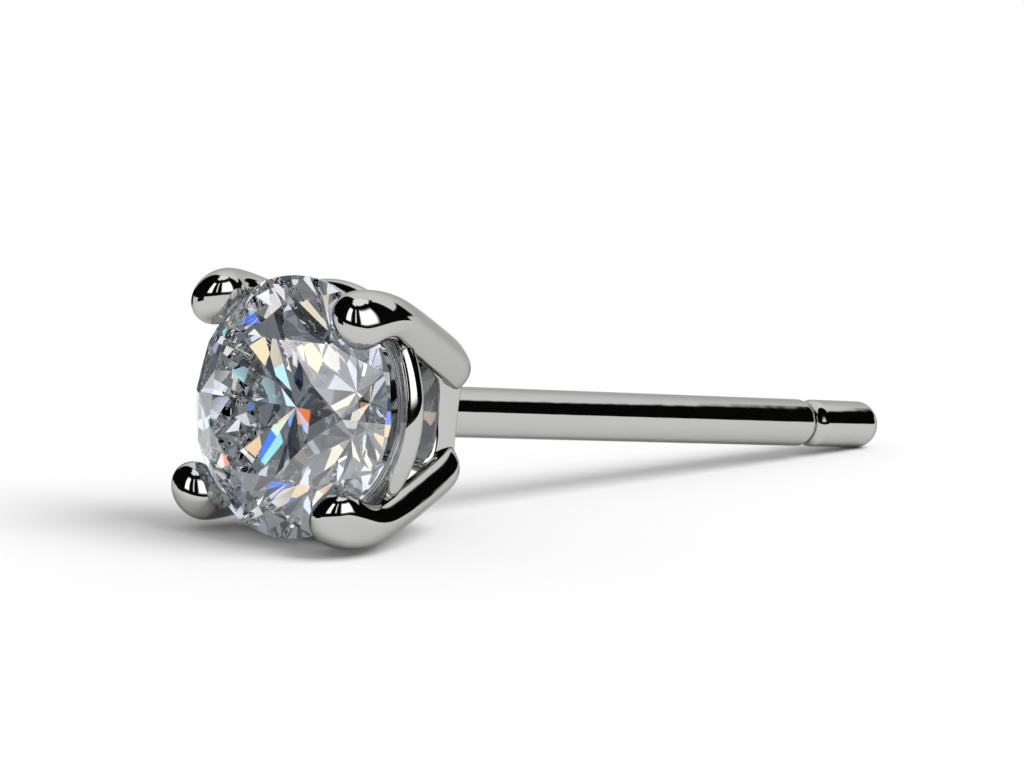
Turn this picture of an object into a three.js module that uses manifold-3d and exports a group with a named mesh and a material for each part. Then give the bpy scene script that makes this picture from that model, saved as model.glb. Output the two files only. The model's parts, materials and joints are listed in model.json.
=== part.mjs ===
// Stud earring: a round brilliant held by four prongs on a basket, with a straight post behind.
//
// The stud is modelled along its own axis first: y = 0 is the plane of the stone's girdle, the table
// faces -y and the post runs to +y. It is then laid down on its two lower prongs and the end of its
// post, with the middle of its box over the origin and z = 0 as the surface it lies on. Millimetres.

import * as THREE from 'three';
import { mergeVertices } from 'three/addons/utils/BufferGeometryUtils.js';
import Module from 'manifold-3d';

const wasm = await Module();
wasm.setup();

const QUARTER = Math.PI / 2;
const TURN = 2 * Math.PI;
const rad = THREE.MathUtils.degToRad;

// Points nearer than this are one point when a three.js surface is closed into a solid.
const weld = 1e-5;

// ---- Driving dimensions -------------------------------------------------------------------------

// Round brilliant. Shares are of the girdle's diameter.
const stone = {
  diameter: 4.0,
  girdleShare: 0.034,
  tableShare: 0.56,
  crownAngle: rad(35),
  pavilionAngle: rad(40.8),
  starLength: 0.5,
  lowerHalfLength: 0.77,
  mains: 8,
  girdleSides: 64,
};

// The seat cut in the prongs is the stone's own shape, grown by this factor so that it keeps clear.
const seatGrowth = 1.025;

// A prong's middle line runs straight from its foot behind the base towards the bend, rounds the
// bend and ends at the tip over the crown. "along" is measured from the girdle's plane towards the
// post and "out" from the axis. The foot is cut flush with the base's back, and its outer corner is
// taken off at 45 degrees, "footOut" from the axis at the back.
const prongLine = {
  foot: { along: 3.00, out: 1.024 },
  bend: { along: 0.00, out: 2.44 },
  tip: { along: -0.33, out: 2.12 },
  straightShare: 0.767,
};
const footOut = 1.22;
const prong = { count: 4, width: 0.65, thickness: 0.56, edgeRadius: 0.16, steps: 12, cornerSteps: 3 };
const prongTip = { width: 0.95, thickness: 0.77, length: 0.80, around: 16, down: 10 };

// Gallery rail: a round wire ring under the girdle that ties the prongs together.
const rail = { radius: 1.78, wire: 0.40, along: 0.72, wireSides: 10, ringSides: 48 };

// Base: a square plate with hollowed sides and round corners, one corner under each prong's foot.
const base = {
  front: 2.37,
  back: 2.85,
  corner: 1.05,
  cornerRadius: 0.27,
  hollow: 0.14,
  edge: 0.06,
  curveSteps: 6,
  edgeSteps: 2,
};

// Post, with the ring groove that a butterfly back clicks into.
const post = { diameter: 0.81, length: 11.75, endRadius: 0.36, sides: 28, arcSteps: 4 };
const groove = { fromEnd: 1.85, width: 0.48, depth: 0.06 };

// The resting tilt is closed in on by halving the range from level to "steepest".
const laying = { steepest: rad(30), halvings: 40 };

// ---- Solids -------------------------------------------------------------------------------------

function toSolid(geometry) {
  const bare = geometry.index ? geometry.toNonIndexed() : geometry.clone();
  bare.deleteAttribute('normal');
  bare.deleteAttribute('uv');
  const welded = mergeVertices(bare, weld);
  return new wasm.Manifold(new wasm.Mesh({
    numProp: 3,
    vertProperties: new Float32Array(welded.attributes.position.array),
    triVerts: new Uint32Array(welded.index.array),
  }));
}

function toGeometry(solid) {
  const { vertProperties, triVerts } = solid.getMesh();
  const geometry = new THREE.BufferGeometry();
  geometry.setAttribute('position', new THREE.BufferAttribute(vertProperties, 3));
  geometry.setIndex(new THREE.BufferAttribute(triVerts, 1));
  geometry.computeVertexNormals();
  return geometry;
}

// ---- Stone --------------------------------------------------------------------------------------

// A facet is a plane through three points, each given by its radius, its angle round the axis and
// its place along the axis. The side away from the stone's middle is cut off.
function facetPoint(radius, angle, along) {
  return new THREE.Vector3(radius * Math.cos(angle), along, radius * Math.sin(angle));
}

function cutFacet(solid, a, b, c) {
  const plane = new THREE.Plane().setFromCoplanarPoints(a, b, c);
  if (plane.constant < 0) plane.negate();
  return solid.trimByPlane(plane.normal.toArray(), -plane.constant);
}

function makeStone() {
  const radius = stone.diameter / 2;
  const girdle = stone.diameter * stone.girdleShare / 2;
  const table = stone.diameter * stone.tableShare / 2;
  const step = TURN / stone.mains;
  const half = step / 2;
  const crown = -girdle - (radius - table) * Math.tan(stone.crownAngle);
  const culet = girdle + radius * Math.tan(stone.pavilionAngle);

  const tableMiddle = table * Math.cos(half);
  const starTip = tableMiddle + stone.starLength * (radius - tableMiddle);
  const starAlong = -girdle - (radius - starTip * Math.cos(half)) * Math.tan(stone.crownAngle);
  const lowerTip = radius * (1 - stone.lowerHalfLength);
  const lowerAlong = girdle + (radius - lowerTip * Math.cos(half)) * Math.tan(stone.pavilionAngle);

  const rough = new THREE.CylinderGeometry(radius, radius, culet - crown, stone.girdleSides);
  rough.translate(0, (culet + crown) / 2, 0);
  let solid = toSolid(rough);
  for (let i = 0; i < stone.mains; i += 1) {
    const main = half + i * step;
    const star = main + half;
    const corner = facetPoint(table, main, crown);
    const nextCorner = facetPoint(table, main + step, crown);
    const starPoint = facetPoint(starTip, star, starAlong);
    const lastStarPoint = facetPoint(starTip, main - half, starAlong);
    const lowerPoint = facetPoint(lowerTip, star, lowerAlong);
    const culetPoint = facetPoint(0, 0, culet);
    solid = cutFacet(solid, corner, starPoint, lastStarPoint);
    solid = cutFacet(solid, corner, nextCorner, starPoint);
    solid = cutFacet(solid, culetPoint, lowerPoint, facetPoint(radius, main, girdle));
    for (const side of [main, main + step]) {
      const crownEdge = [facetPoint(radius, side, -girdle), facetPoint(radius, star, -girdle)];
      const pavilionEdge = [facetPoint(radius, side, girdle), facetPoint(radius, star, girdle)];
      solid = cutFacet(solid, starPoint, ...crownEdge);
      solid = cutFacet(solid, lowerPoint, ...pavilionEdge);
    }
  }
  return solid;
}

function makeSeat(stoneGeometry) {
  return toSolid(stoneGeometry.clone().scale(seatGrowth, seatGrowth, seatGrowth));
}

// ---- Metal --------------------------------------------------------------------------------------

function roundedRectangle(width, height, radius) {
  const x = width / 2 - radius;
  const y = height / 2 - radius;
  const shape = new THREE.Shape();
  [[x, y], [-x, y], [-x, -y], [x, -y]].forEach(([cx, cy], i) => {
    shape.absarc(cx, cy, radius, i * QUARTER, (i + 1) * QUARTER, false);
  });
  return shape;
}

function makeProng(angle) {
  const [foot, bend, tipPlace] = ['foot', 'bend', 'tip'].map((name) => (
    new THREE.Vector3(prongLine[name].out, prongLine[name].along, 0)
  ));
  const bendStart = foot.clone().lerp(bend, prongLine.straightShare);
  const line = new THREE.CurvePath();
  line.add(new THREE.LineCurve3(foot, bendStart));
  line.add(new THREE.QuadraticBezierCurve3(bendStart, bend, tipPlace));
  const bar = new THREE.ExtrudeGeometry(
    roundedRectangle(prong.width, prong.thickness, prong.edgeRadius),
    { steps: prong.steps, curveSegments: prong.cornerSteps, bevelEnabled: false, extrudePath: line },
  );
  const tipWay = tipPlace.clone().sub(bend);
  const tip = new THREE.SphereGeometry(1, prongTip.around, prongTip.down);
  tip.scale(prongTip.thickness / 2, prongTip.length / 2, prongTip.width / 2);
  tip.rotateZ(Math.atan2(tipWay.y, tipWay.x) - QUARTER);
  tip.translate(tipPlace.x, tipPlace.y, 0);
  const back = new THREE.Plane(new THREE.Vector3(0, 1, 0), -base.back);
  const corner = new THREE.Plane(new THREE.Vector3(1, 1, 0), -footOut - base.back).normalize();
  let prongSolid = toSolid(bar.rotateY(angle));
  for (const { normal, constant } of [back, corner]) {
    normal.applyAxisAngle(new THREE.Vector3(0, 1, 0), angle);
    prongSolid = prongSolid.trimByPlane(normal.negate().toArray(), constant);
  }
  return prongSolid.add(toSolid(tip.rotateY(angle)));
}

function makeRail() {
  const ring = new THREE.TorusGeometry(rail.radius, rail.wire / 2, rail.wireSides, rail.ringSides);
  return toSolid(ring.rotateX(QUARTER).translate(0, rail.along, 0));
}

function makeBase() {
  const shape = new THREE.Shape();
  const middle = base.corner / Math.SQRT2;
  const side = middle + base.cornerRadius;
  for (let turn = 0; turn < TURN; turn += TURN / prong.count) {
    const centre = new THREE.Vector2(middle, middle).rotateAround(new THREE.Vector2(), turn);
    const dip = new THREE.Vector2(0, side - 2 * base.hollow).rotateAround(new THREE.Vector2(), turn);
    const next = new THREE.Vector2(-middle, side).rotateAround(new THREE.Vector2(), turn);
    shape.absarc(centre.x, centre.y, base.cornerRadius, turn, turn + QUARTER, false);
    shape.quadraticCurveTo(dip.x, dip.y, next.x, next.y);
  }
  const plate = new THREE.ExtrudeGeometry(shape, {
    depth: base.back - base.front - 2 * base.edge,
    curveSegments: base.curveSteps,
    bevelEnabled: true,
    bevelThickness: base.edge,
    bevelSize: base.edge,
    bevelOffset: -base.edge,
    bevelSegments: base.edgeSteps,
  });
  return toSolid(plate.translate(0, 0, base.front + base.edge).rotateX(-QUARTER));
}

function makePost() {
  const radius = post.diameter / 2;
  const start = (base.front + base.back) / 2;
  const end = base.back + post.length;
  const profile = [new THREE.Vector2(0, start), new THREE.Vector2(radius, start)];
  const middle = end - groove.fromEnd;
  for (let i = 0; i <= 2 * post.arcSteps; i += 1) {
    const share = i / (2 * post.arcSteps);
    const dip = groove.depth * Math.sin(share * Math.PI) ** 2;
    profile.push(new THREE.Vector2(radius - dip, middle + (share - 0.5) * groove.width));
  }
  for (let i = 0; i <= post.arcSteps; i += 1) {
    const turn = i / post.arcSteps * QUARTER;
    profile.push(new THREE.Vector2(
      radius - post.endRadius * (1 - Math.cos(turn)),
      end - post.endRadius * (1 - Math.sin(turn)),
    ));
  }
  profile.push(new THREE.Vector2(0, end));
  return toSolid(new THREE.LatheGeometry(profile, post.sides));
}

function makeSetting(seat) {
  let metal = makeRail().add(makeBase()).add(makePost());
  for (let i = 0; i < prong.count; i += 1) {
    metal = metal.add(makeProng(TURN / prong.count * (i + 0.5)));
  }
  return metal.subtract(seat);
}

// ---- Laying the stud down -----------------------------------------------------------------------

// Lowest point of the setting ahead of the base or behind it, with the stud tipped by "tilt".
function lowest(positions, tilt, isPart) {
  let low = Infinity;
  for (let i = 0; i < positions.count; i += 1) {
    const y = positions.getY(i);
    if (isPart(y)) low = Math.min(low, positions.getZ(i) * Math.cos(tilt) - y * Math.sin(tilt));
  }
  return low;
}

// The tilt at which the lower prongs and the post's end are equally low.
function restingTilt(positions) {
  let level = 0;
  let steep = laying.steepest;
  for (let i = 0; i < laying.halvings; i += 1) {
    const tilt = (level + steep) / 2;
    const head = lowest(positions, tilt, (y) => y < base.back);
    const tail = lowest(positions, tilt, (y) => y > base.back);
    if (tail > head) level = tilt;
    else steep = tilt;
  }
  return (level + steep) / 2;
}

const whiteGold = new THREE.MeshStandardMaterial({ color: '#d4d4d2', metalness: 1, roughness: 0.08 });
const diamond = new THREE.MeshStandardMaterial({ color: '#dfe8ee', metalness: 0, roughness: 0.02 });

const stoneMesh = new THREE.Mesh(toGeometry(makeStone()), diamond);
stoneMesh.name = 'stone';
const settingMesh = new THREE.Mesh(toGeometry(makeSetting(makeSeat(stoneMesh.geometry))), whiteGold);
settingMesh.name = 'setting';

const stud = new THREE.Group();
stud.add(settingMesh, stoneMesh);
stud.rotation.x = -restingTilt(settingMesh.geometry.attributes.position);

const earring = new THREE.Group();
earring.add(stud);
earring.updateMatrixWorld(true);
const box = new THREE.Box3().setFromObject(earring, true);
const middle = box.getCenter(new THREE.Vector3());
stud.position.set(-middle.x, -middle.y, -box.min.z);

export default earring;
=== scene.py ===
import json
import math
from collections import namedtuple

import bmesh
import bpy
from bpy.props import FloatProperty, FloatVectorProperty, PointerProperty, StringProperty
from mathutils import Matrix, Vector


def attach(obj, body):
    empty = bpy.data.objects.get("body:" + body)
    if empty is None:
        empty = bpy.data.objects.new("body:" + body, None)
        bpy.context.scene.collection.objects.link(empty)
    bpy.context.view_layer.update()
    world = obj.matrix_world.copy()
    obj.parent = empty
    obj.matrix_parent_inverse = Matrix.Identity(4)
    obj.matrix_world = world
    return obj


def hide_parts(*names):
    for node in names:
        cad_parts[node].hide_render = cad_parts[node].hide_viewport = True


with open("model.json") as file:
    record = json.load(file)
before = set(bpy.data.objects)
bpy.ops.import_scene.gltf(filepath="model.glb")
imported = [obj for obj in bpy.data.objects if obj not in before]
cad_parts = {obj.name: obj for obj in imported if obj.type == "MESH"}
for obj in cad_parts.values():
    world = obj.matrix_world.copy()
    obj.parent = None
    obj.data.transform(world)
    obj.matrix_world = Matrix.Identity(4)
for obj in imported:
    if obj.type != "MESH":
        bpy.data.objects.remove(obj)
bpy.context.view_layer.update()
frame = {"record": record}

bl_info = {
    "name": "Prong-set stud earring",
    "version": (1, 0, 0),
    "blender": (4, 5, 0),
    "location": "3D View > Sidebar > Stud",
    "description": "Builds a stud earring: a round brilliant in a four-prong basket on a grooved post",
    "category": "Add Mesh",
}

BODY = "root"
SETTING, STONE = "setting", "stone"
MM = 0.001
TURN = 2 * math.pi
QUARTER = TURN / 4
EIGHTH = TURN / 8


# ---- The stud's own frame ----------------------------------------------------------------------
# Millimetres: y = 0 is the girdle's plane, the table faces -y, the post runs to +y and z is up.


def base_mount():
    return next(m for m in frame["record"]["mounts"] if m["name"] == "base_back")


def stud_axes():
    along = Vector(base_mount()["axis"]).normalized()
    across = Vector((1, 0, 0))
    return across, along, across.cross(along)


def stud_to_world():
    """Millimetres in the stud's frame to metres where the stud lies."""
    sizes = bpy.context.scene.stud_sizes
    across, along, up = stud_axes()
    girdle = Vector(base_mount()["pos_m"]) - along * sizes.base_back - up * sizes.mount_height
    turn = Matrix((across, along, up)).transposed().to_4x4()
    return Matrix.Translation(girdle) @ turn @ Matrix.Scale(MM, 4)


# ---- Settings ----------------------------------------------------------------------------------


def length(name, description, default):
    return FloatProperty(name=name, description=description, default=default, unit="LENGTH",
                         subtype="DISTANCE", precision=5)


def angle(name, description, degrees):
    return FloatProperty(name=name, description=description, default=math.radians(degrees),
                         unit="ROTATION", subtype="ANGLE")


def share(name, description, default):
    return FloatProperty(name=name, description=description, default=default, subtype="FACTOR")


def hex_colour(name, description, default):
    return StringProperty(name=name, description=description, default=default)


class StudSizes(bpy.types.PropertyGroup):
    """Sizes of the stud, in metres."""

    stone_diameter: length("Stone", "Diameter of the girdle", 0.0040)
    stone_table: share("Table", "Table's width as a share of the diameter", 0.56)
    stone_girdle: share("Girdle", "Girdle's thickness as a share of the diameter", 0.034)
    crown_angle: angle("Crown", "Angle of the crown's main facets", 35.0)
    pavilion_angle: angle("Pavilion", "Angle of the pavilion's main facets", 40.8)
    star_length: share("Stars", "How far the stars reach to the girdle", 0.5)
    lower_length: share("Lower halves", "How far the lower girdle facets reach to the culet", 0.77)
    seat_gap: length("Seat", "Clearance between the stone and its seat", 0.00003)

    rail_radius: length("Rail", "Radius of the gallery rail's middle line", 0.00178)
    rail_wire: length("Rail wire", "Thickness of the gallery rail", 0.00040)
    rail_along: length("Rail place", "Gallery rail's distance behind the girdle", 0.00072)

    base_front: length("Base front", "Front of the base behind the girdle", 0.00237)
    base_back: length("Base back", "Back of the base behind the girdle", 0.00285)
    base_side: length("Base side", "Middle of a base's side from the axis", 0.00087)
    base_flare: length("Base flare", "How far a side runs out at its corners", 0.00006)
    base_corner: length("Base corner", "Reach of the base's corners under the prongs", 0.00115)
    base_rise: length("Base rise", "How far the base's front runs up the prongs", 0.00030)
    base_edge: length("Base edge", "Rounding of the base's rim", 0.00007)
    mount_height: length("Mount", "Height of the measured point on the base above the axis", 0.00068)

    post_diameter: length("Post", "Diameter of the post's wire", 0.00081)
    post_length: length("Post length", "Length of the post behind the base", 0.01175)
    post_round: length("Post end", "Radius of the post's rounded end", 0.00036)
    groove_place: length("Groove", "Groove's distance from the post's end", 0.00185)
    groove_width: length("Groove width", "Width of the ring groove", 0.00048)
    groove_depth: length("Groove depth", "Depth of the ring groove", 0.00006)


class StudFinishes(bpy.types.PropertyGroup):
    """Colours and polish of the metal and the stone."""

    rhodium: hex_colour("Rhodium", "Colour of the rhodium plate", "#C2C2C0")
    rhodium_edge: hex_colour("Rhodium edge", "Colour of the plate where it turns away", "#BEBEBE")
    rhodium_roughness: share("Polish", "Roughness of the mirror polish", 0.03)
    rhodium_haze: share("Haze", "Roughness where the polish is hazy", 0.09)
    girdle_roughness: share("Girdle finish", "Roughness of the polished girdle", 0.01)
    diamond: hex_colour("Diamond", "Body colour of the stone", "#FFFFFF")
    diamond_index: FloatProperty(name="Diamond index", description="Refractive index of the stone",
                                 default=2.417)


class StudStage(bpy.types.PropertyGroup):
    """Floor, light and camera."""

    floor: hex_colour("Floor", "Colour of the floor", "#F4F4F4")
    floor_size: length("Floor size", "Half the width of the floor", 2.0)
    flag: hex_colour("Flag", "Colour of the flags before the stone", "#101010")
    backdrop: hex_colour("Backdrop", "Colour behind the stud", "#FFFFFF")
    wall: hex_colour("Wall", "Colour of the room that the metal mirrors", "#FFFFFF")
    stone_wall: hex_colour("Stone's wall", "Colour of the room that the stone gathers", "#8A8F92")
    ambient: FloatProperty(name="Ambient", description="Light from all round on the floor", default=0.6)
    azimuth: angle("Azimuth", "Camera's turn from looking along +Y", 41.354)
    elevation: angle("Elevation", "Camera's height above the horizon", 8.741)
    roll: angle("Roll", "Camera's roll", 2.130)
    distance: length("Distance", "Camera's distance from the aim", 0.070)
    aim: FloatVectorProperty(name="Aim", description="Point that the camera looks at",
                             default=(0.002241, -0.004327, 0.002490), subtype="TRANSLATION",
                             precision=6)
    lens: FloatProperty(name="Lens", description="Focal length on a 36 mm sensor, in millimetres",
                        default=161.45)


# ---- Making and finishing meshes ---------------------------------------------------------------

# Millimetres. Points nearer to each other than WELD become one, and points within CUT_SLACK of a
# cut lie on it.
WELD = 1e-5
CUT_SLACK = 1e-6
# Degrees between faces, past which their edge stays sharp.
SHARP = 50


def in_mm(value):
    return value / MM


def finish_piece(bm, name, node_name, material):
    """Turns a bmesh in the stud's frame into a piece of the stud."""
    bmesh.ops.recalc_face_normals(bm, faces=bm.faces)
    bmesh.ops.transform(bm, matrix=stud_to_world(), verts=bm.verts)
    mesh = bpy.data.meshes.new(name)
    bm.to_mesh(mesh)
    bm.free()
    mesh.materials.append(material)
    piece = bpy.data.objects.new(name, mesh)
    bpy.context.scene.collection.objects.link(piece)
    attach(piece, BODY)
    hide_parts(node_name)
    return piece


def shade_smooth(piece, sharp_degrees=None):
    for polygon in piece.data.polygons:
        polygon.use_smooth = True
    if sharp_degrees is not None:
        piece.data.set_sharp_from_angle(angle=math.radians(sharp_degrees))


def add_subdivision(piece, levels):
    modifier = piece.modifiers.new("Subdivision", "SUBSURF")
    modifier.levels = levels
    modifier.render_levels = levels


def apply_modifiers(piece):
    """Writes the shape that the modifiers give into the piece's mesh."""
    graph = bpy.context.evaluated_depsgraph_get()
    mesh = bpy.data.meshes.new_from_object(piece.evaluated_get(graph))
    piece.modifiers.clear()
    old = piece.data
    piece.data = mesh
    bpy.data.meshes.remove(old)


# ---- Materials ---------------------------------------------------------------------------------

# Millimetres.
HAZE_GRAIN = 0.35
BUFF_GRAIN = 0.6
BUFF_DEPTH = 0.004
# The noise between these values goes from mirror to haze.
HAZE_START = 0.35
HAZE_FULL = 0.75
HAZE_DETAIL = 2.0
BUFF_DETAIL = 1.0


def linear(hex_value):
    """A linear RGBA colour from an sRGB hex value."""
    channels = [int(hex_value[i:i + 2], 16) / 255 for i in (1, 3, 5)]
    return (*[c / 12.92 if c <= 0.04045 else ((c + 0.055) / 1.055) ** 2.4 for c in channels], 1.0)


def add_node(tree, kind, settings=None, inputs=None):
    """Adds a node. An input is given a value, or a socket to be linked from."""
    made = tree.nodes.new(kind)
    for name, value in (settings or {}).items():
        setattr(made, name, value)
    for name, value in (inputs or {}).items():
        if isinstance(value, bpy.types.NodeSocket):
            tree.links.new(value, made.inputs[name])
        else:
            made.inputs[name].default_value = value
    return made


def new_material(name):
    material = bpy.data.materials.new(name)
    material.use_nodes = True
    material.node_tree.nodes.clear()
    return material


def mirror_polished_rhodium():
    """Rhodium plate on cast white gold, tumbled and buffed on a soft wheel: a cool bright mirror.

    The buff leaves the mirror a little uneven over half a millimetre, and haze of finer marks
    softens it here and there.
    """
    finishes = bpy.context.scene.stud_finishes
    name = "mirror_polished_rhodium"
    if name in bpy.data.materials:
        return bpy.data.materials[name]
    material = new_material(name)
    tree = material.node_tree
    place = add_node(tree, "ShaderNodeTexCoord").outputs["Object"]
    marks = add_node(tree, "ShaderNodeTexNoise", inputs={
        "Vector": place, "Scale": 1 / (HAZE_GRAIN * MM), "Detail": HAZE_DETAIL})
    haze = add_node(tree, "ShaderNodeMapRange", inputs={
        "Value": marks.outputs["Fac"], "From Min": HAZE_START, "From Max": HAZE_FULL,
        "To Min": finishes.rhodium_roughness, "To Max": finishes.rhodium_haze})
    waves = add_node(tree, "ShaderNodeTexNoise", inputs={
        "Vector": place, "Scale": 1 / (BUFF_GRAIN * MM), "Detail": BUFF_DETAIL})
    buffed = add_node(tree, "ShaderNodeBump", inputs={
        "Height": waves.outputs["Fac"], "Strength": 1.0, "Distance": BUFF_DEPTH * MM})
    shader = add_node(tree, "ShaderNodeBsdfPrincipled", inputs={
        "Base Color": linear(finishes.rhodium),
        "Specular Tint": linear(finishes.rhodium_edge),
        "Metallic": 1.0,
        "Roughness": haze.outputs["Result"],
        "Normal": buffed.outputs["Normal"],
    })
    add_node(tree, "ShaderNodeOutputMaterial", inputs={"Surface": shader.outputs["BSDF"]})
    return material


def polished_diamond():
    """Colourless diamond: facets polished flat on a scaife, and a girdle polished almost as bright."""
    finishes = bpy.context.scene.stud_finishes
    sizes = bpy.context.scene.stud_sizes
    material = new_material("polished_diamond")
    tree = material.node_tree
    place = add_node(tree, "ShaderNodeTexCoord").outputs["Object"]
    along = add_node(tree, "ShaderNodeVectorMath", {"operation": "DOT_PRODUCT"},
                     {0: place, 1: stud_axes()[1]})
    middle = stud_to_world().translation.dot(stud_axes()[1])
    near = add_node(tree, "ShaderNodeMath", {"operation": "COMPARE"}, {
        0: along.outputs["Value"], 1: middle,
        2: sizes.stone_girdle * sizes.stone_diameter / 2})
    polish = add_node(tree, "ShaderNodeMath", {"operation": "MULTIPLY"},
                      {0: near.outputs[0], 1: finishes.girdle_roughness})
    shader = add_node(tree, "ShaderNodeBsdfPrincipled", inputs={
        "Base Color": linear(finishes.diamond),
        "Metallic": 0.0,
        "Roughness": polish.outputs[0],
        "IOR": finishes.diamond_index,
        "Transmission Weight": 1.0,
    })
    add_node(tree, "ShaderNodeOutputMaterial", inputs={"Surface": shader.outputs["BSDF"]})
    return material


# ---- Stone -------------------------------------------------------------------------------------

BLANK_SIDES = 64
MAINS = 8


def polar(radius, turn, along):
    return Vector((radius * math.cos(turn), along, radius * math.sin(turn)))


def cut_facet(bm, a, b, c):
    """Cuts off what lies beyond the plane through three points, and closes the cut."""
    normal = (b - a).cross(c - a).normalized()
    if normal.dot(a) < 0:
        normal.negate()
    cut = bmesh.ops.bisect_plane(bm, geom=[*bm.verts, *bm.edges, *bm.faces], plane_co=a,
                                 plane_no=normal, clear_outer=True, dist=CUT_SLACK)
    edges = [e for e in cut["geom_cut"] if isinstance(e, bmesh.types.BMEdge) and e.is_boundary]
    if edges:
        bmesh.ops.edgeloop_fill(bm, edges=edges)


def cut_brilliant(growth=0.0):
    """A round brilliant as a bmesh in the stud's frame, with every facet moved out by growth."""
    sizes = bpy.context.scene.stud_sizes
    diameter = in_mm(sizes.stone_diameter)
    radius = diameter / 2
    girdle = diameter * sizes.stone_girdle / 2
    table = radius * sizes.stone_table
    step = TURN / MAINS
    half = step / 2
    crown = -girdle - (radius - table) * math.tan(sizes.crown_angle)
    culet = girdle + radius * math.tan(sizes.pavilion_angle)
    table_middle = table * math.cos(half)
    star_tip = table_middle + sizes.star_length * (radius - table_middle)
    star_along = -girdle - (radius - star_tip * math.cos(half)) * math.tan(sizes.crown_angle)
    lower_tip = radius * (1 - sizes.lower_length)
    lower_along = girdle + (radius - lower_tip * math.cos(half)) * math.tan(sizes.pavilion_angle)

    bm = bmesh.new()
    bmesh.ops.create_cone(bm, cap_ends=True, segments=BLANK_SIDES, radius1=radius, radius2=radius,
                          depth=culet - crown)
    bmesh.ops.rotate(bm, verts=bm.verts, cent=(0, 0, 0), matrix=Matrix.Rotation(QUARTER, 3, "X"))
    bmesh.ops.translate(bm, verts=bm.verts, vec=(0, (culet + crown) / 2, 0))
    culet_point = Vector((0, culet, 0))
    for i in range(MAINS):
        main = half + i * step
        star = main + half
        corner = polar(table, main, crown)
        star_point = polar(star_tip, star, star_along)
        lower_point = polar(lower_tip, star, lower_along)
        cut_facet(bm, corner, star_point, polar(star_tip, main - half, star_along))
        cut_facet(bm, corner, polar(table, main + step, crown), star_point)
        cut_facet(bm, culet_point, lower_point, polar(radius, main, girdle))
        for side in (main, main + step):
            cut_facet(bm, star_point, polar(radius, side, -girdle), polar(radius, star, -girdle))
            cut_facet(bm, lower_point, polar(radius, side, girdle), polar(radius, star, girdle))
    bmesh.ops.remove_doubles(bm, verts=bm.verts, dist=WELD)
    if growth:
        scale = 1 + growth / radius
        bmesh.ops.scale(bm, verts=bm.verts, vec=(scale, scale, scale))
    return bm


# ---- Metal -------------------------------------------------------------------------------------

Ring = namedtuple("Ring", "along out lean width thickness square taper")
# A prong from its foot to its tip. The ring's middle lies "along" behind the girdle and "out" from
# the axis, and the ring leans by "lean" degrees. "square" is 2 for an oval and more for a bar, and
# "taper" is how much narrower than its middle the bar's outer face is, as a share.
PRONG_RINGS = (
    # along, out, lean, width, thickness, square, taper
    Ring(2.80, 0.95, 0, 0.26, 0.14, 2.4, 0.0),
    Ring(2.80, 0.98, 0, 0.50, 0.34, 2.8, 0.05),
    Ring(2.77, 1.05, 8, 0.62, 0.45, 3.0, 0.1),
    Ring(2.66, 1.15, 18, 0.66, 0.53, 3.2, 0.15),
    Ring(2.46, 1.28, 24, 0.68, 0.55, 3.2, 0.17),
    Ring(2.10, 1.455, 25.3, 0.68, 0.55, 3.2, 0.17),
    Ring(1.50, 1.731, 25.3, 0.68, 0.55, 3.2, 0.17),
    Ring(0.95, 1.98, 25.3, 0.68, 0.55, 3.1, 0.17),
    Ring(0.60, 2.125, 22, 0.68, 0.56, 2.9, 0.15),
    Ring(0.34, 2.218, 15, 0.70, 0.57, 2.6, 0.1),
    Ring(0.09, 2.25, 0, 0.77, 0.62, 2.3, 0.05),
    Ring(-0.12, 2.225, -19, 0.87, 0.70, 2.05, 0.0),
    Ring(-0.25, 2.165, -34, 0.93, 0.75, 2.0, 0.0),
    Ring(-0.33, 2.11, -44, 0.95, 0.77, 2.0, 0.0),
)
NOSE_LENGTH = 0.40
# The lower bars bow out this much more than the upper ones, over this length behind the girdle.
LOWER_SAG = 0.04
SAG_LENGTH = 2.75
SAG_CURVE = 0.5
PRONG_SIDES = 8
PRONG_LEVELS = 2
RAIL_SIDES = 32
RAIL_STEPS = 160
BASE_SIDES = 128
BASE_EDGE_STEPS = 5
# How steeply the base's flare and its rise grow towards a corner.
FLARE_CURVE = 3
RISE_CURVE = 4
POST_SIDES = 96
POST_STEPS = 24


def ring_point(turn, ring):
    """A point of a prong's ring, in the plane of the prong: x is out, y along, z across."""
    power = 2 / ring.square
    c, s = math.cos(turn), math.sin(turn)
    part = math.copysign(abs(c) ** power, c)
    height = part * ring.thickness / 2
    across = math.copysign(abs(s) ** power, s) * (1 - ring.taper * part) * ring.width / 2
    tilt = math.radians(ring.lean)
    return Vector((ring.out + height * math.cos(tilt), ring.along + height * math.sin(tilt), across))


def ring_turn(place, ring):
    """The turn at which ring_point gives this place."""
    tilt = math.radians(ring.lean)
    offset = place - Vector((ring.out, ring.along, 0))
    height = offset.dot(Vector((math.cos(tilt), math.sin(tilt), 0))) / (ring.thickness / 2)
    across = offset.z / (ring.width / 2) / (1 - ring.taper * height)
    power = ring.square / 2
    c = math.copysign(abs(height) ** power, height)
    s = math.copysign(abs(across) ** power, across)
    return math.atan2(s, c)


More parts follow.
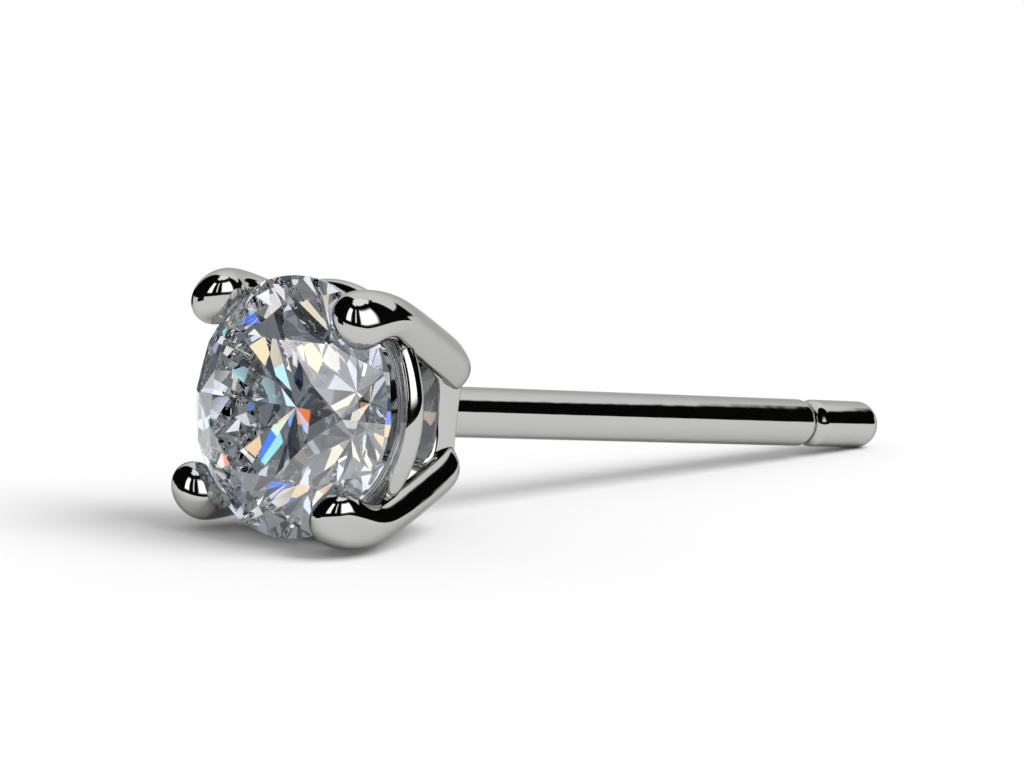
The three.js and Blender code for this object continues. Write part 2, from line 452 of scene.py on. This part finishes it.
def make_nose():
    """Half a ball at the tip's ring, drawn out along the tip's way."""
    bm = bmesh.new()
    bmesh.ops.create_cube(bm, size=1.0)
    bmesh.ops.subdivide_edges(bm, edges=bm.edges, cuts=PRONG_SIDES - 1, use_grid_fill=True)
    for vert in bm.verts:
        vert.co.normalize()
    bmesh.ops.bisect_plane(bm, geom=[*bm.verts, *bm.edges, *bm.faces], plane_co=(0, 0, 0),
                           plane_no=(0, 1, 0), clear_outer=True, dist=CUT_SLACK)
    tip = PRONG_RINGS[-1]
    lean = math.radians(tip.lean)
    for vert in bm.verts:
        x, y, z = vert.co
        out = Vector((math.cos(lean), math.sin(lean), 0)) * (x * tip.thickness / 2)
        way = Vector((-math.sin(lean), math.cos(lean), 0)) * (y * NOSE_LENGTH)
        vert.co = Vector((tip.out, tip.along, z * tip.width / 2)) + out + way
    return bm


def make_prong(turn):
    """A bar drawn from the nose of the prong, ring by ring, to its foot in the base."""
    sag = LOWER_SAG if math.sin(turn) < 0 else 0.0
    bm = make_nose()
    edges = [e for e in bm.edges if e.is_boundary]
    shifts = {}
    for ring, last in zip(reversed(PRONG_RINGS[:-1]), reversed(PRONG_RINGS)):
        made = bmesh.ops.extrude_edge_only(bm, edges=edges)["geom"]
        verts = [v for v in made if isinstance(v, bmesh.types.BMVert)]
        edges = [e for e in made if isinstance(e, bmesh.types.BMEdge) and e.is_boundary]
        bent = math.sin(math.pi * min(max(ring.along / SAG_LENGTH, 0), 1)) ** SAG_CURVE
        for vert in verts:
            vert.co = ring_point(ring_turn(vert.co, last), ring)
            shifts[vert] = Vector((sag * bent, 0, 0))
    for vert, shift in shifts.items():
        vert.co += shift
    bmesh.ops.holes_fill(bm, edges=edges, sides=0)
    bmesh.ops.rotate(bm, verts=bm.verts, cent=(0, 0, 0), matrix=Matrix.Rotation(-turn, 3, "Y"))
    return bm


def corner_reach(turn):
    """0 at the middle of a side of the base, 1 at its corner."""
    return abs((turn + EIGHTH) % QUARTER - EIGHTH) / EIGHTH


def outline_radius(turn):
    """Distance of the base's outline from the axis: hollow sides that flare at the corners."""
    sizes = bpy.context.scene.stud_sizes
    side = in_mm(sizes.base_side)
    flare = in_mm(sizes.base_flare)
    reach = corner_reach(turn)
    return min(side / math.cos(reach * EIGHTH) + flare * reach ** FLARE_CURVE,
               in_mm(sizes.base_corner))


class StudOperator:
    """What the steps share"""

    bl_options = {"REGISTER", "UNDO"}


class STUD_OT_stone(StudOperator, bpy.types.Operator):
    """Cut the round brilliant"""

    bl_idname = "stud.stone"
    bl_label = "Stone"

    def execute(self, context):
        bm = cut_brilliant()
        if any(not e.is_manifold for e in bm.edges):
            raise RuntimeError("the stone is not closed")
        finish_piece(bm, "round_brilliant", STONE, polished_diamond())
        return {"FINISHED"}


class STUD_OT_prongs(StudOperator, bpy.types.Operator):
    """Draw the four prongs and cut the stone's seat in them"""

    bl_idname = "stud.prongs"
    bl_label = "Prongs"

    def execute(self, context):
        sizes = context.scene.stud_sizes
        cutter = finish_piece(cut_brilliant(in_mm(sizes.seat_gap)), "seat_cutter", STONE,
                              mirror_polished_rhodium())
        for i, place in enumerate(("upper_right", "upper_left", "lower_left", "lower_right")):
            bm = make_prong(QUARTER * (i + 0.5))
            piece = finish_piece(bm, "prong_" + place, SETTING, mirror_polished_rhodium())
            add_subdivision(piece, PRONG_LEVELS)
            notch = piece.modifiers.new("Seat", "BOOLEAN")
            notch.operation = "DIFFERENCE"
            notch.solver = "EXACT"
            notch.object = cutter
            apply_modifiers(piece)
            shade_smooth(piece, SHARP)
        mesh = cutter.data
        bpy.data.objects.remove(cutter)
        bpy.data.meshes.remove(mesh)
        return {"FINISHED"}


class STUD_OT_rail(StudOperator, bpy.types.Operator):
    """Bend the gallery rail"""

    bl_idname = "stud.rail"
    bl_label = "Gallery rail"

    def execute(self, context):
        sizes = context.scene.stud_sizes
        bm = bmesh.new()
        bmesh.ops.create_circle(bm, segments=RAIL_SIDES, radius=in_mm(sizes.rail_wire) / 2)
        bmesh.ops.translate(bm, verts=bm.verts,
                            vec=(in_mm(sizes.rail_radius), in_mm(sizes.rail_along), 0))
        bmesh.ops.spin(bm, geom=[*bm.verts, *bm.edges], cent=(0, 0, 0), axis=(0, 1, 0),
                       angle=TURN, steps=RAIL_STEPS, use_merge=True)
        bmesh.ops.remove_doubles(bm, verts=bm.verts, dist=WELD)
        piece = finish_piece(bm, "gallery_rail", SETTING, mirror_polished_rhodium())
        shade_smooth(piece)
        return {"FINISHED"}


class STUD_OT_base(StudOperator, bpy.types.Operator):
    """Form the base plate under the prongs' feet"""

    bl_idname = "stud.base"
    bl_label = "Base"

    def execute(self, context):
        sizes = context.scene.stud_sizes
        bm = bmesh.new()
        front, back = in_mm(sizes.base_front), in_mm(sizes.base_back)
        bmesh.ops.create_circle(bm, cap_ends=True, segments=BASE_SIDES, radius=1.0)
        bmesh.ops.rotate(bm, verts=bm.verts, cent=(0, 0, 0), matrix=Matrix.Rotation(QUARTER, 3, "X"))
        for vert in bm.verts:
            turn = math.atan2(vert.co.z, vert.co.x)
            vert.co = polar(outline_radius(turn), turn, back)
        made = bmesh.ops.extrude_face_region(bm, geom=list(bm.faces))["geom"]
        verts = [v for v in made if isinstance(v, bmesh.types.BMVert)]
        faces = [f for f in made if isinstance(f, bmesh.types.BMFace)]
        for vert in verts:
            turn = math.atan2(vert.co.z, vert.co.x)
            vert.co.y = front - in_mm(sizes.base_rise) * corner_reach(turn) ** RISE_CURVE
        rims = [e for e in bm.edges if len({v in verts for v in e.verts}) == 1]
        bmesh.ops.recalc_face_normals(bm, faces=bm.faces)
        bmesh.ops.bevel(bm, geom=rims, offset=in_mm(sizes.base_edge), segments=BASE_EDGE_STEPS,
                        profile=0.5, affect="EDGES", material=-1)
        piece = finish_piece(bm, "base_plate", SETTING, mirror_polished_rhodium())
        shade_smooth(piece, SHARP)
        return {"FINISHED"}


class STUD_OT_post(StudOperator, bpy.types.Operator):
    """Turn the grooved post"""

    bl_idname = "stud.post"
    bl_label = "Post"

    def execute(self, context):
        sizes = context.scene.stud_sizes
        radius = in_mm(sizes.post_diameter) / 2
        start = in_mm(sizes.base_front + sizes.base_back) / 2
        end = in_mm(sizes.base_back + sizes.post_length)
        groove = end - in_mm(sizes.groove_place)
        width = in_mm(sizes.groove_width)
        rounding = in_mm(sizes.post_round)
        bm = bmesh.new()
        profile = [(0.0, start), (radius, start)]
        for i in range(POST_STEPS + 1):
            part = i / POST_STEPS
            dip = in_mm(sizes.groove_depth) * math.sin(part * math.pi) ** 2
            profile.append((radius - dip, groove + (part - 0.5) * width))
        for i in range(POST_STEPS + 1):
            turn = i / POST_STEPS * QUARTER
            profile.append((radius - rounding * (1 - math.cos(turn)),
                            end - rounding * (1 - math.sin(turn))))
        profile.append((0.0, end))
        verts = [bm.verts.new((x, y, 0)) for x, y in profile]
        edges = [bm.edges.new(pair) for pair in zip(verts, verts[1:])]
        bmesh.ops.spin(bm, geom=[*verts, *edges], cent=(0, 0, 0), axis=(0, 1, 0), angle=TURN,
                       steps=POST_SIDES, use_merge=True)
        bmesh.ops.remove_doubles(bm, verts=bm.verts, dist=WELD)
        piece = finish_piece(bm, "post", SETTING, mirror_polished_rhodium())
        shade_smooth(piece, SHARP)
        return {"FINISHED"}


# ---- Stage -------------------------------------------------------------------------------------

# Cards hang round the stud, each over those before it. "turn" is degrees from +Y towards +X,
# "height" degrees above the horizon, "blur" the width of the soft edge and "lean" how far the card
# is turned in its own plane. The metal mirrors one set of cards, and the stone gathers another.
METAL_CARDS = (
    # turn, height, half width, half height, blur, lean, brightness, colour
    (0, 85, 180, 9, 3, 0, 1.3, "#FFFFFF"),
    (149.5, 36.5, 135.5, 39.5, 3, 0, 1.0, "#0C0C0C"),
    (30, 78, 25, 7, 3, 0, 1.3, "#FFFFFF"),
    (190, 78, 25, 7, 3, 0, 1.3, "#FFFFFF"),
    (8, 20.5, 12, 10, 2, 0, 1.0, "#0C0C0C"),
    (-17, 47, 43, 17.5, 3, 0, 1.05, "#FFFFFF"),
    (105, 36, 28, 21, 14, 0, 2.8, "#FFFFFF"),
    (158, 36, 2.2, 22, 3, 0, 1.6, "#FFFFFF"),
    (-172, 33, 9, 20, 5, 0, 2.2, "#FFFFFF"),
)
STONE_CARDS = (
    # turn, height, half width, half height, blur, lean, brightness, colour
    # the room: soft lights and dark cards all round
    (-60, 30, 34, 20, 4, 10, 1.0, "#F4F8FF"),
    (-10, 50, 16, 14, 3, 0, 1.0, "#2A2C30"),
    (20, 20, 14, 12, 3, 20, 1.1, "#FFFFFF"),
    (60, 40, 16, 18, 3, -15, 1.0, "#2A2C30"),
    (95, 20, 8, 16, 3, 10, 1.2, "#FFFFFF"),
    (-38, -67, 20, 10, 3, 0, 1.1, "#EAF0FF"),
    (-60, -25, 22, 12, 3, -10, 1.1, "#C8CCD0"),
    (-110, -15, 16, 14, 3, 15, 1.0, "#2A2C30"),
    (-110, -56, 24, 14, 3, 0, 1.3, "#9CC0FF"),
    (120, -56, 40, 10, 3, 0, 1.1, "#DCEAFF"),
    # near the camera's side, where most of the table's light comes from
    (150, 10, 34, 50, 4, 0, 1.0, "#727A80"),
    (205, 5, 24, 50, 4, 0, 1.0, "#7C8286"),
    (152, 59, 6, 6, 2, 0, 1.3, "#E4F0FF"),
    (182, 42, 5, 5, 1.5, 0, 1.15, "#FFF6E2"),
    (192, 49, 4, 5, 1.5, 0, 1.0, "#2A2C30"),
    (120, 0, 5, 8, 1.5, 0, 1.2, "#FFFFFF"),
    (122, 13, 4, 3, 1, 0, 1.0, "#2A2C30"),
    (131, 1, 5, 4, 1, 0, 1.0, "#30343A"),
    (133, 24, 4, 6, 1.5, 0, 1.0, "#2A2C30"),
    (137, 33, 4, 3, 1, 0, 1.4, "#FFFFFF"),
    (142, 43, 5, 5, 1.5, 20, 1.15, "#EEF4FF"),
    (142, 18, 3, 4, 1, 0, 1.3, "#D8ECFF"),
    (123, 40, 4, 5, 1.5, 0, 1.2, "#F4DCC0"),
    (151, 39, 3, 3, 1, 0, 1.3, "#F0D8B0"),
    (166, 35, 4, 4, 1, 0, 1.5, "#FFF0C4"),
    (171, 29, 3, 3, 1, 0, 1.3, "#7FB8FF"),
    (155, 33, 3, 3, 1, 0, 1.0, "#30343A"),
    (167, 23, 2.5, 2.5, 1, 0, 1.5, "#D4FFE8"),
    (163, 18, 3, 3.5, 1, 0, 1.15, "#FFF4DC"),
    (154, 17, 3, 6, 1, 0, 1.0, "#2A2C30"),
    (153, 2, 3, 4, 0.8, 0, 1.0, "#30343A"),
    (158, 6, 2, 5, 0.8, 0, 1.5, "#3A78E8"),
    (167, 2, 2.5, 4, 0.8, 0, 1.5, "#BDF2FF"),
    (167, 12, 2, 2.5, 0.8, 0, 1.2, "#1B46B8"),
    (174, 10, 3, 5, 1, 0, 1.0, "#4E5A62"),
    (190, -2, 3, 4, 1, 0, 1.5, "#9EEBF0"),
    (195, -10, 3, 4, 1, 0, 1.5, "#E8762C"),
    (186, 18, 5, 6, 1, 0, 1.0, "#3C4650"),
    (182, -38, 6, 5, 1.5, 0, 1.1, "#E2EAFF"),
    (198, -38, 5, 6, 1.5, 0, 1.0, "#30343A"),
    (222, 4, 4, 3, 1.5, 0, 1.15, "#FFF0D8"),
    (202, 42, 4, 5, 1, 0, 1.2, "#C8D0F4"),
    (235, 14, 4, 5, 1, 0, 1.2, "#FFB888"),
    (206, 8, 5, 5, 1.5, 0, 1.4, "#FFFFFF"),
    (158, -10, 3.5, 3.5, 1, 0, 1.3, "#FFDDAC"),
    (145, -1, 4, 4.5, 1, 0, 1.1, "#F6F2E4"),
    (147, -17, 4, 5, 1, 0, 1.0, "#141E3C"),
    (127, -22, 5, 6, 1, 0, 1.0, "#2A2C30"),
    (138, -26, 4, 5, 1, 0, 1.4, "#F2F0EA"),
    (143, -33, 5, 4, 1, 0, 1.1, "#E4EEFF"),
    (160, -24, 6, 5, 1.5, 0, 1.5, "#D4F0FF"),
    (150, 30, 2, 2, 1, 0, 1.3, "#4A7CF0"),
    (213, 39, 4, 4, 1, 0, 1.2, "#E4E8F8"),
    (189, 51, 3, 3, 1, 0, 1.4, "#FFFFFF"),
    (219, -51, 7, 6, 2, 0, 1.0, "#30343A"),
    (231, -33, 5, 5, 1.5, 0, 1.3, "#D4DCFF"),
    (129, 15, 2.5, 3, 1, 0, 1.3, "#E8EEFF"),
    (136, 21, 2, 2.5, 1, 0, 1.0, "#30343A"),
    (273, -36, 7, 6, 2, 0, 1.3, "#E8ECFF"),
    (297, 3, 6, 5, 2, 0, 1.2, "#C4D4FF"),
    (261, 18, 5, 6, 2, 0, 1.0, "#F0EEE4"),
    (195, -27, 4, 4, 1, 0, 1.0, "#E0E4E8"),
    (138, -7, 4, 2.5, 1, 0, 1.1, "#E6ECFF"),
    (129, -33, 4, 4, 1, 0, 1.15, "#FFF2D6"),
    (153, -19, 3, 3, 1, 0, 1.0, "#30343A"),
    (135, 12, 3, 3, 1, 0, 1.2, "#F6F2E8"),
)
FLAGS = (
    # name, turn in degrees, then distance, width and height in metres
    ("front_flag", 224, 0.018, 0.010, 0.005),
    ("side_flag", 290, 0.018, 0.012, 0.005),
)
LAMPS = (
    # name, then turn, height and spread in degrees, strength
    ("key_lamp", 60, 50, 42, 2.1),
)
BOARD_ROUGHNESS = 0.9
CLOTH_ROUGHNESS = 1.0
MOST_BOUNCES = 32
# Light turns many times inside the stone before it leaves.
STONE_BOUNCES = 28
# The camera sees from its distance over CLIP_NEAR to the floor's half width times CLIP_FAR.
CLIP_NEAR = 100
CLIP_FAR = 4
# Angles between a card and the way that is looked in are brought into this range of degrees.
WRAP_FROM = (-180, -180, -180)
WRAP_TO = (180, 180, 180)
# Sockets of a Mix node that mixes colours: its kinds share their names.
MIX_FACTOR, MIX_A, MIX_B, MIX_RESULT = 0, 6, 7, 2


def sky_direction(turn, height):
    return Vector((math.sin(turn) * math.cos(height), math.cos(turn) * math.cos(height), math.sin(height)))


def sky_place(tree):
    """The turn and the height of the direction that is looked in, in degrees, as a vector."""
    way = add_node(tree, "ShaderNodeTexCoord").outputs["Generated"]
    parts = add_node(tree, "ShaderNodeSeparateXYZ", inputs={"Vector": way})
    turn = add_node(tree, "ShaderNodeMath", {"operation": "ARCTAN2"},
                    {0: parts.outputs["X"], 1: parts.outputs["Y"]})
    height = add_node(tree, "ShaderNodeMath", {"operation": "ARCSINE"}, {0: parts.outputs["Z"]})
    joined = add_node(tree, "ShaderNodeCombineXYZ", inputs={"X": turn.outputs[0], "Y": height.outputs[0]})
    scaled = add_node(tree, "ShaderNodeVectorMath", {"operation": "SCALE"},
                      {0: joined.outputs[0], "Scale": math.degrees(1)})
    return scaled.outputs[0]


def hang_cards(tree, place, wall, cards):
    """The colour of the surroundings: a wall with the cards before it."""
    colour = wall
    for turn, height, wide, high, blur, lean, brightness, hex_value in cards:
        away = add_node(tree, "ShaderNodeVectorMath", {"operation": "SUBTRACT"},
                        {0: place, 1: (turn, height, 0)})
        near = add_node(tree, "ShaderNodeVectorMath", {"operation": "WRAP"},
                        {0: away.outputs[0], 1: WRAP_TO, 2: WRAP_FROM})
        turned = near
        if lean:
            turned = add_node(tree, "ShaderNodeVectorRotate", {"rotation_type": "Z_AXIS"},
                              {"Vector": near.outputs[0], "Angle": math.radians(-lean)})
        size = add_node(tree, "ShaderNodeVectorMath", {"operation": "ABSOLUTE"}, {0: turned.outputs[0]})
        inside = add_node(tree, "ShaderNodeVectorMath", {"operation": "SUBTRACT"},
                          {0: (wide + blur / 2, high + blur / 2, 0), 1: size.outputs[0]})
        soft = add_node(tree, "ShaderNodeVectorMath", {"operation": "SCALE"},
                        {0: inside.outputs[0], "Scale": 1 / blur})
        parts = add_node(tree, "ShaderNodeSeparateXYZ", inputs={"Vector": soft.outputs[0]})
        level = add_node(tree, "ShaderNodeMath", {"operation": "MINIMUM"},
                         {0: parts.outputs["X"], 1: parts.outputs["Y"]})
        mask = add_node(tree, "ShaderNodeMapRange", {"interpolation_type": "SMOOTHSTEP"},
                        {"Value": level.outputs[0]})
        paint = [c * brightness for c in linear(hex_value)[:3]]
        mix = add_node(tree, "ShaderNodeMix", {"data_type": "RGBA"},
                       {MIX_FACTOR: mask.outputs["Result"], MIX_A: colour, MIX_B: (*paint, 1.0)})
        colour = mix.outputs[MIX_RESULT]
    return colour


def add_sheet(bm, name, material):
    """Turns a bmesh in metres into a flat sheet of the stage."""
    mesh = bpy.data.meshes.new(name)
    bm.to_mesh(mesh)
    bm.free()
    mesh.materials.append(material)
    sheet = bpy.data.objects.new(name, mesh)
    bpy.context.scene.collection.objects.link(sheet)
    return sheet


class STUD_OT_stage(StudOperator, bpy.types.Operator):
    """Lay the floor, light it and set the camera"""

    bl_idname = "stud.stage"
    bl_label = "Stage"

    def execute(self, context):
        self.lay_floor(context)
        self.hang_flags(context)
        self.light(context)
        self.set_camera(context)
        context.scene.view_settings.view_transform = "Standard"
        context.scene.cycles.max_bounces = MOST_BOUNCES
        context.scene.cycles.glossy_bounces = STONE_BOUNCES
        context.scene.cycles.transmission_bounces = STONE_BOUNCES
        return {"FINISHED"}

    def lay_floor(self, context):
        """Matt white board, which shows soft shadows and no gloss.

        What looks out through the stone doesn't see it, only the cards.
        """
        stage = context.scene.stud_stage
        material = new_material("matt_white_board")
        tree = material.node_tree
        shader = add_node(tree, "ShaderNodeBsdfPrincipled", inputs={
            "Base Color": linear(stage.floor), "Roughness": BOARD_ROUGHNESS,
            "Specular IOR Level": 0.0})
        ray = add_node(tree, "ShaderNodeLightPath")
        clear = add_node(tree, "ShaderNodeBsdfTransparent")
        mix = add_node(tree, "ShaderNodeMixShader", inputs={
            0: ray.outputs["Transmission Depth"], 1: shader.outputs["BSDF"], 2: clear.outputs[0]})
        add_node(tree, "ShaderNodeOutputMaterial", inputs={"Surface": mix.outputs[0]})
        bm = bmesh.new()
        bmesh.ops.create_grid(bm, x_segments=1, y_segments=1, size=stage.floor_size)
        floor = add_sheet(bm, "floor", material)

    def hang_flags(self, context):
        """Small flags round the stone, so that its facets don't mirror the white floor.

        Their black cloth swallows nearly all light. Only mirrored rays see them.
        """
        material = new_material("black_flag_cloth")
        tree = material.node_tree
        shader = add_node(tree, "ShaderNodeBsdfPrincipled", inputs={
            "Base Color": linear(context.scene.stud_stage.flag), "Roughness": CLOTH_ROUGHNESS,
            "Specular IOR Level": 0.0})
        add_node(tree, "ShaderNodeOutputMaterial", inputs={"Surface": shader.outputs["BSDF"]})
        girdle = stud_to_world().translation
        for name, turn, distance, width, height in FLAGS:
            way = sky_direction(math.radians(turn), 0.0)
            place = Vector((girdle.x, girdle.y, height / 2)) + way * distance
            facing = way.to_track_quat("Z", "Y").to_matrix().to_4x4()
            bm = bmesh.new()
            bmesh.ops.create_grid(bm, x_segments=1, y_segments=1, size=0.5)
            bmesh.ops.scale(bm, verts=bm.verts, vec=(width, height, 1))
            bmesh.ops.transform(bm, matrix=Matrix.Translation(place) @ facing, verts=bm.verts)
            flag = add_sheet(bm, name, material)
            flag.visible_camera = False
            flag.visible_diffuse = False
            flag.visible_transmission = False
            flag.visible_shadow = False

    def light(self, context):
        """The room, as metal mirrors it and as the stone gathers it, and the lamp for the floor."""
        stage = context.scene.stud_stage
        world = bpy.data.worlds.new("studio")
        world.use_nodes = True
        tree = world.node_tree
        tree.nodes.clear()
        place = sky_place(tree)
        mirrored = hang_cards(tree, place, linear(stage.wall), METAL_CARDS)
        gathered = hang_cards(tree, place, linear(stage.stone_wall), STONE_CARDS)
        ray = add_node(tree, "ShaderNodeLightPath")
        seen = add_node(tree, "ShaderNodeBackground", inputs={"Color": mirrored}).outputs[0]
        for kind, colour in (("Transmission Depth", gathered),
                             ("Is Diffuse Ray", (*[stage.ambient] * 3, 1.0)),
                             ("Is Camera Ray", linear(stage.backdrop))):
            other = add_node(tree, "ShaderNodeBackground", inputs={"Color": colour})
            mix = add_node(tree, "ShaderNodeMixShader",
                           inputs={0: ray.outputs[kind], 1: seen, 2: other.outputs[0]})
            seen = mix.outputs[0]
        add_node(tree, "ShaderNodeOutputWorld", inputs={"Surface": seen})
        world.cycles.sampling_method = "NONE"
        context.scene.world = world
        for name, turn, height, spread, strength in LAMPS:
            lamp = bpy.data.lights.new(name, "SUN")
            lamp.angle = math.radians(spread)
            lamp.energy = strength
            holder = bpy.data.objects.new(name, lamp)
            way = sky_direction(math.radians(turn), math.radians(height))
            holder.matrix_world = way.to_track_quat("Z", "Y").to_matrix().to_4x4()
            holder.visible_camera = False
            holder.visible_glossy = False
            holder.visible_transmission = False
            context.scene.collection.objects.link(holder)

    def set_camera(self, context):
        stage = context.scene.stud_stage
        a, e = stage.azimuth, stage.elevation
        back = Vector((math.sin(a) * math.cos(e), -math.cos(a) * math.cos(e), math.sin(e)))
        right = Vector((math.cos(a), math.sin(a), 0))
        up = back.cross(right)
        turned_right = right * math.cos(stage.roll) + up * math.sin(stage.roll)
        turned_up = up * math.cos(stage.roll) - right * math.sin(stage.roll)
        data = bpy.data.cameras.new("camera")
        data.lens = stage.lens
        data.clip_start = stage.distance / CLIP_NEAR
        data.clip_end = stage.floor_size * CLIP_FAR
        camera = bpy.data.objects.new("camera", data)
        turn = Matrix((turned_right, turned_up, back)).transposed().to_4x4()
        camera.matrix_world = Matrix.Translation(Vector(stage.aim) + back * stage.distance) @ turn
        context.scene.collection.objects.link(camera)
        context.scene.camera = camera


class STUD_PT_panel(bpy.types.Panel):
    """Steps of the stud, in order"""

    bl_label = "Stud earring"
    bl_idname = "STUD_PT_panel"
    bl_space_type = "VIEW_3D"
    bl_region_type = "UI"
    bl_category = "Stud"

    def draw(self, context):
        for operator in OPERATORS:
            self.layout.operator(operator.bl_idname)
        for group in (context.scene.stud_sizes, context.scene.stud_finishes, context.scene.stud_stage):
            box = self.layout.box()
            for name in group.__annotations__:
                box.prop(group, name)


GROUPS = (StudSizes, StudFinishes, StudStage)
OPERATORS = (STUD_OT_stone, STUD_OT_prongs, STUD_OT_rail, STUD_OT_base, STUD_OT_post, STUD_OT_stage)


def register():
    for made in (*GROUPS, *OPERATORS, STUD_PT_panel):
        bpy.utils.register_class(made)
    bpy.types.Scene.stud_sizes = PointerProperty(type=StudSizes)
    bpy.types.Scene.stud_finishes = PointerProperty(type=StudFinishes)
    bpy.types.Scene.stud_stage = PointerProperty(type=StudStage)


def unregister():
    del bpy.types.Scene.stud_sizes, bpy.types.Scene.stud_finishes, bpy.types.Scene.stud_stage
    for made in reversed((*GROUPS, *OPERATORS, STUD_PT_panel)):
        bpy.utils.unregister_class(made)


def main():
    register()
    bpy.ops.stud.stone()
    bpy.ops.stud.prongs()
    bpy.ops.stud.rail()
    bpy.ops.stud.base()
    bpy.ops.stud.post()
    bpy.ops.stud.stage()
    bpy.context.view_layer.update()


if __name__ == "__main__":
    main()
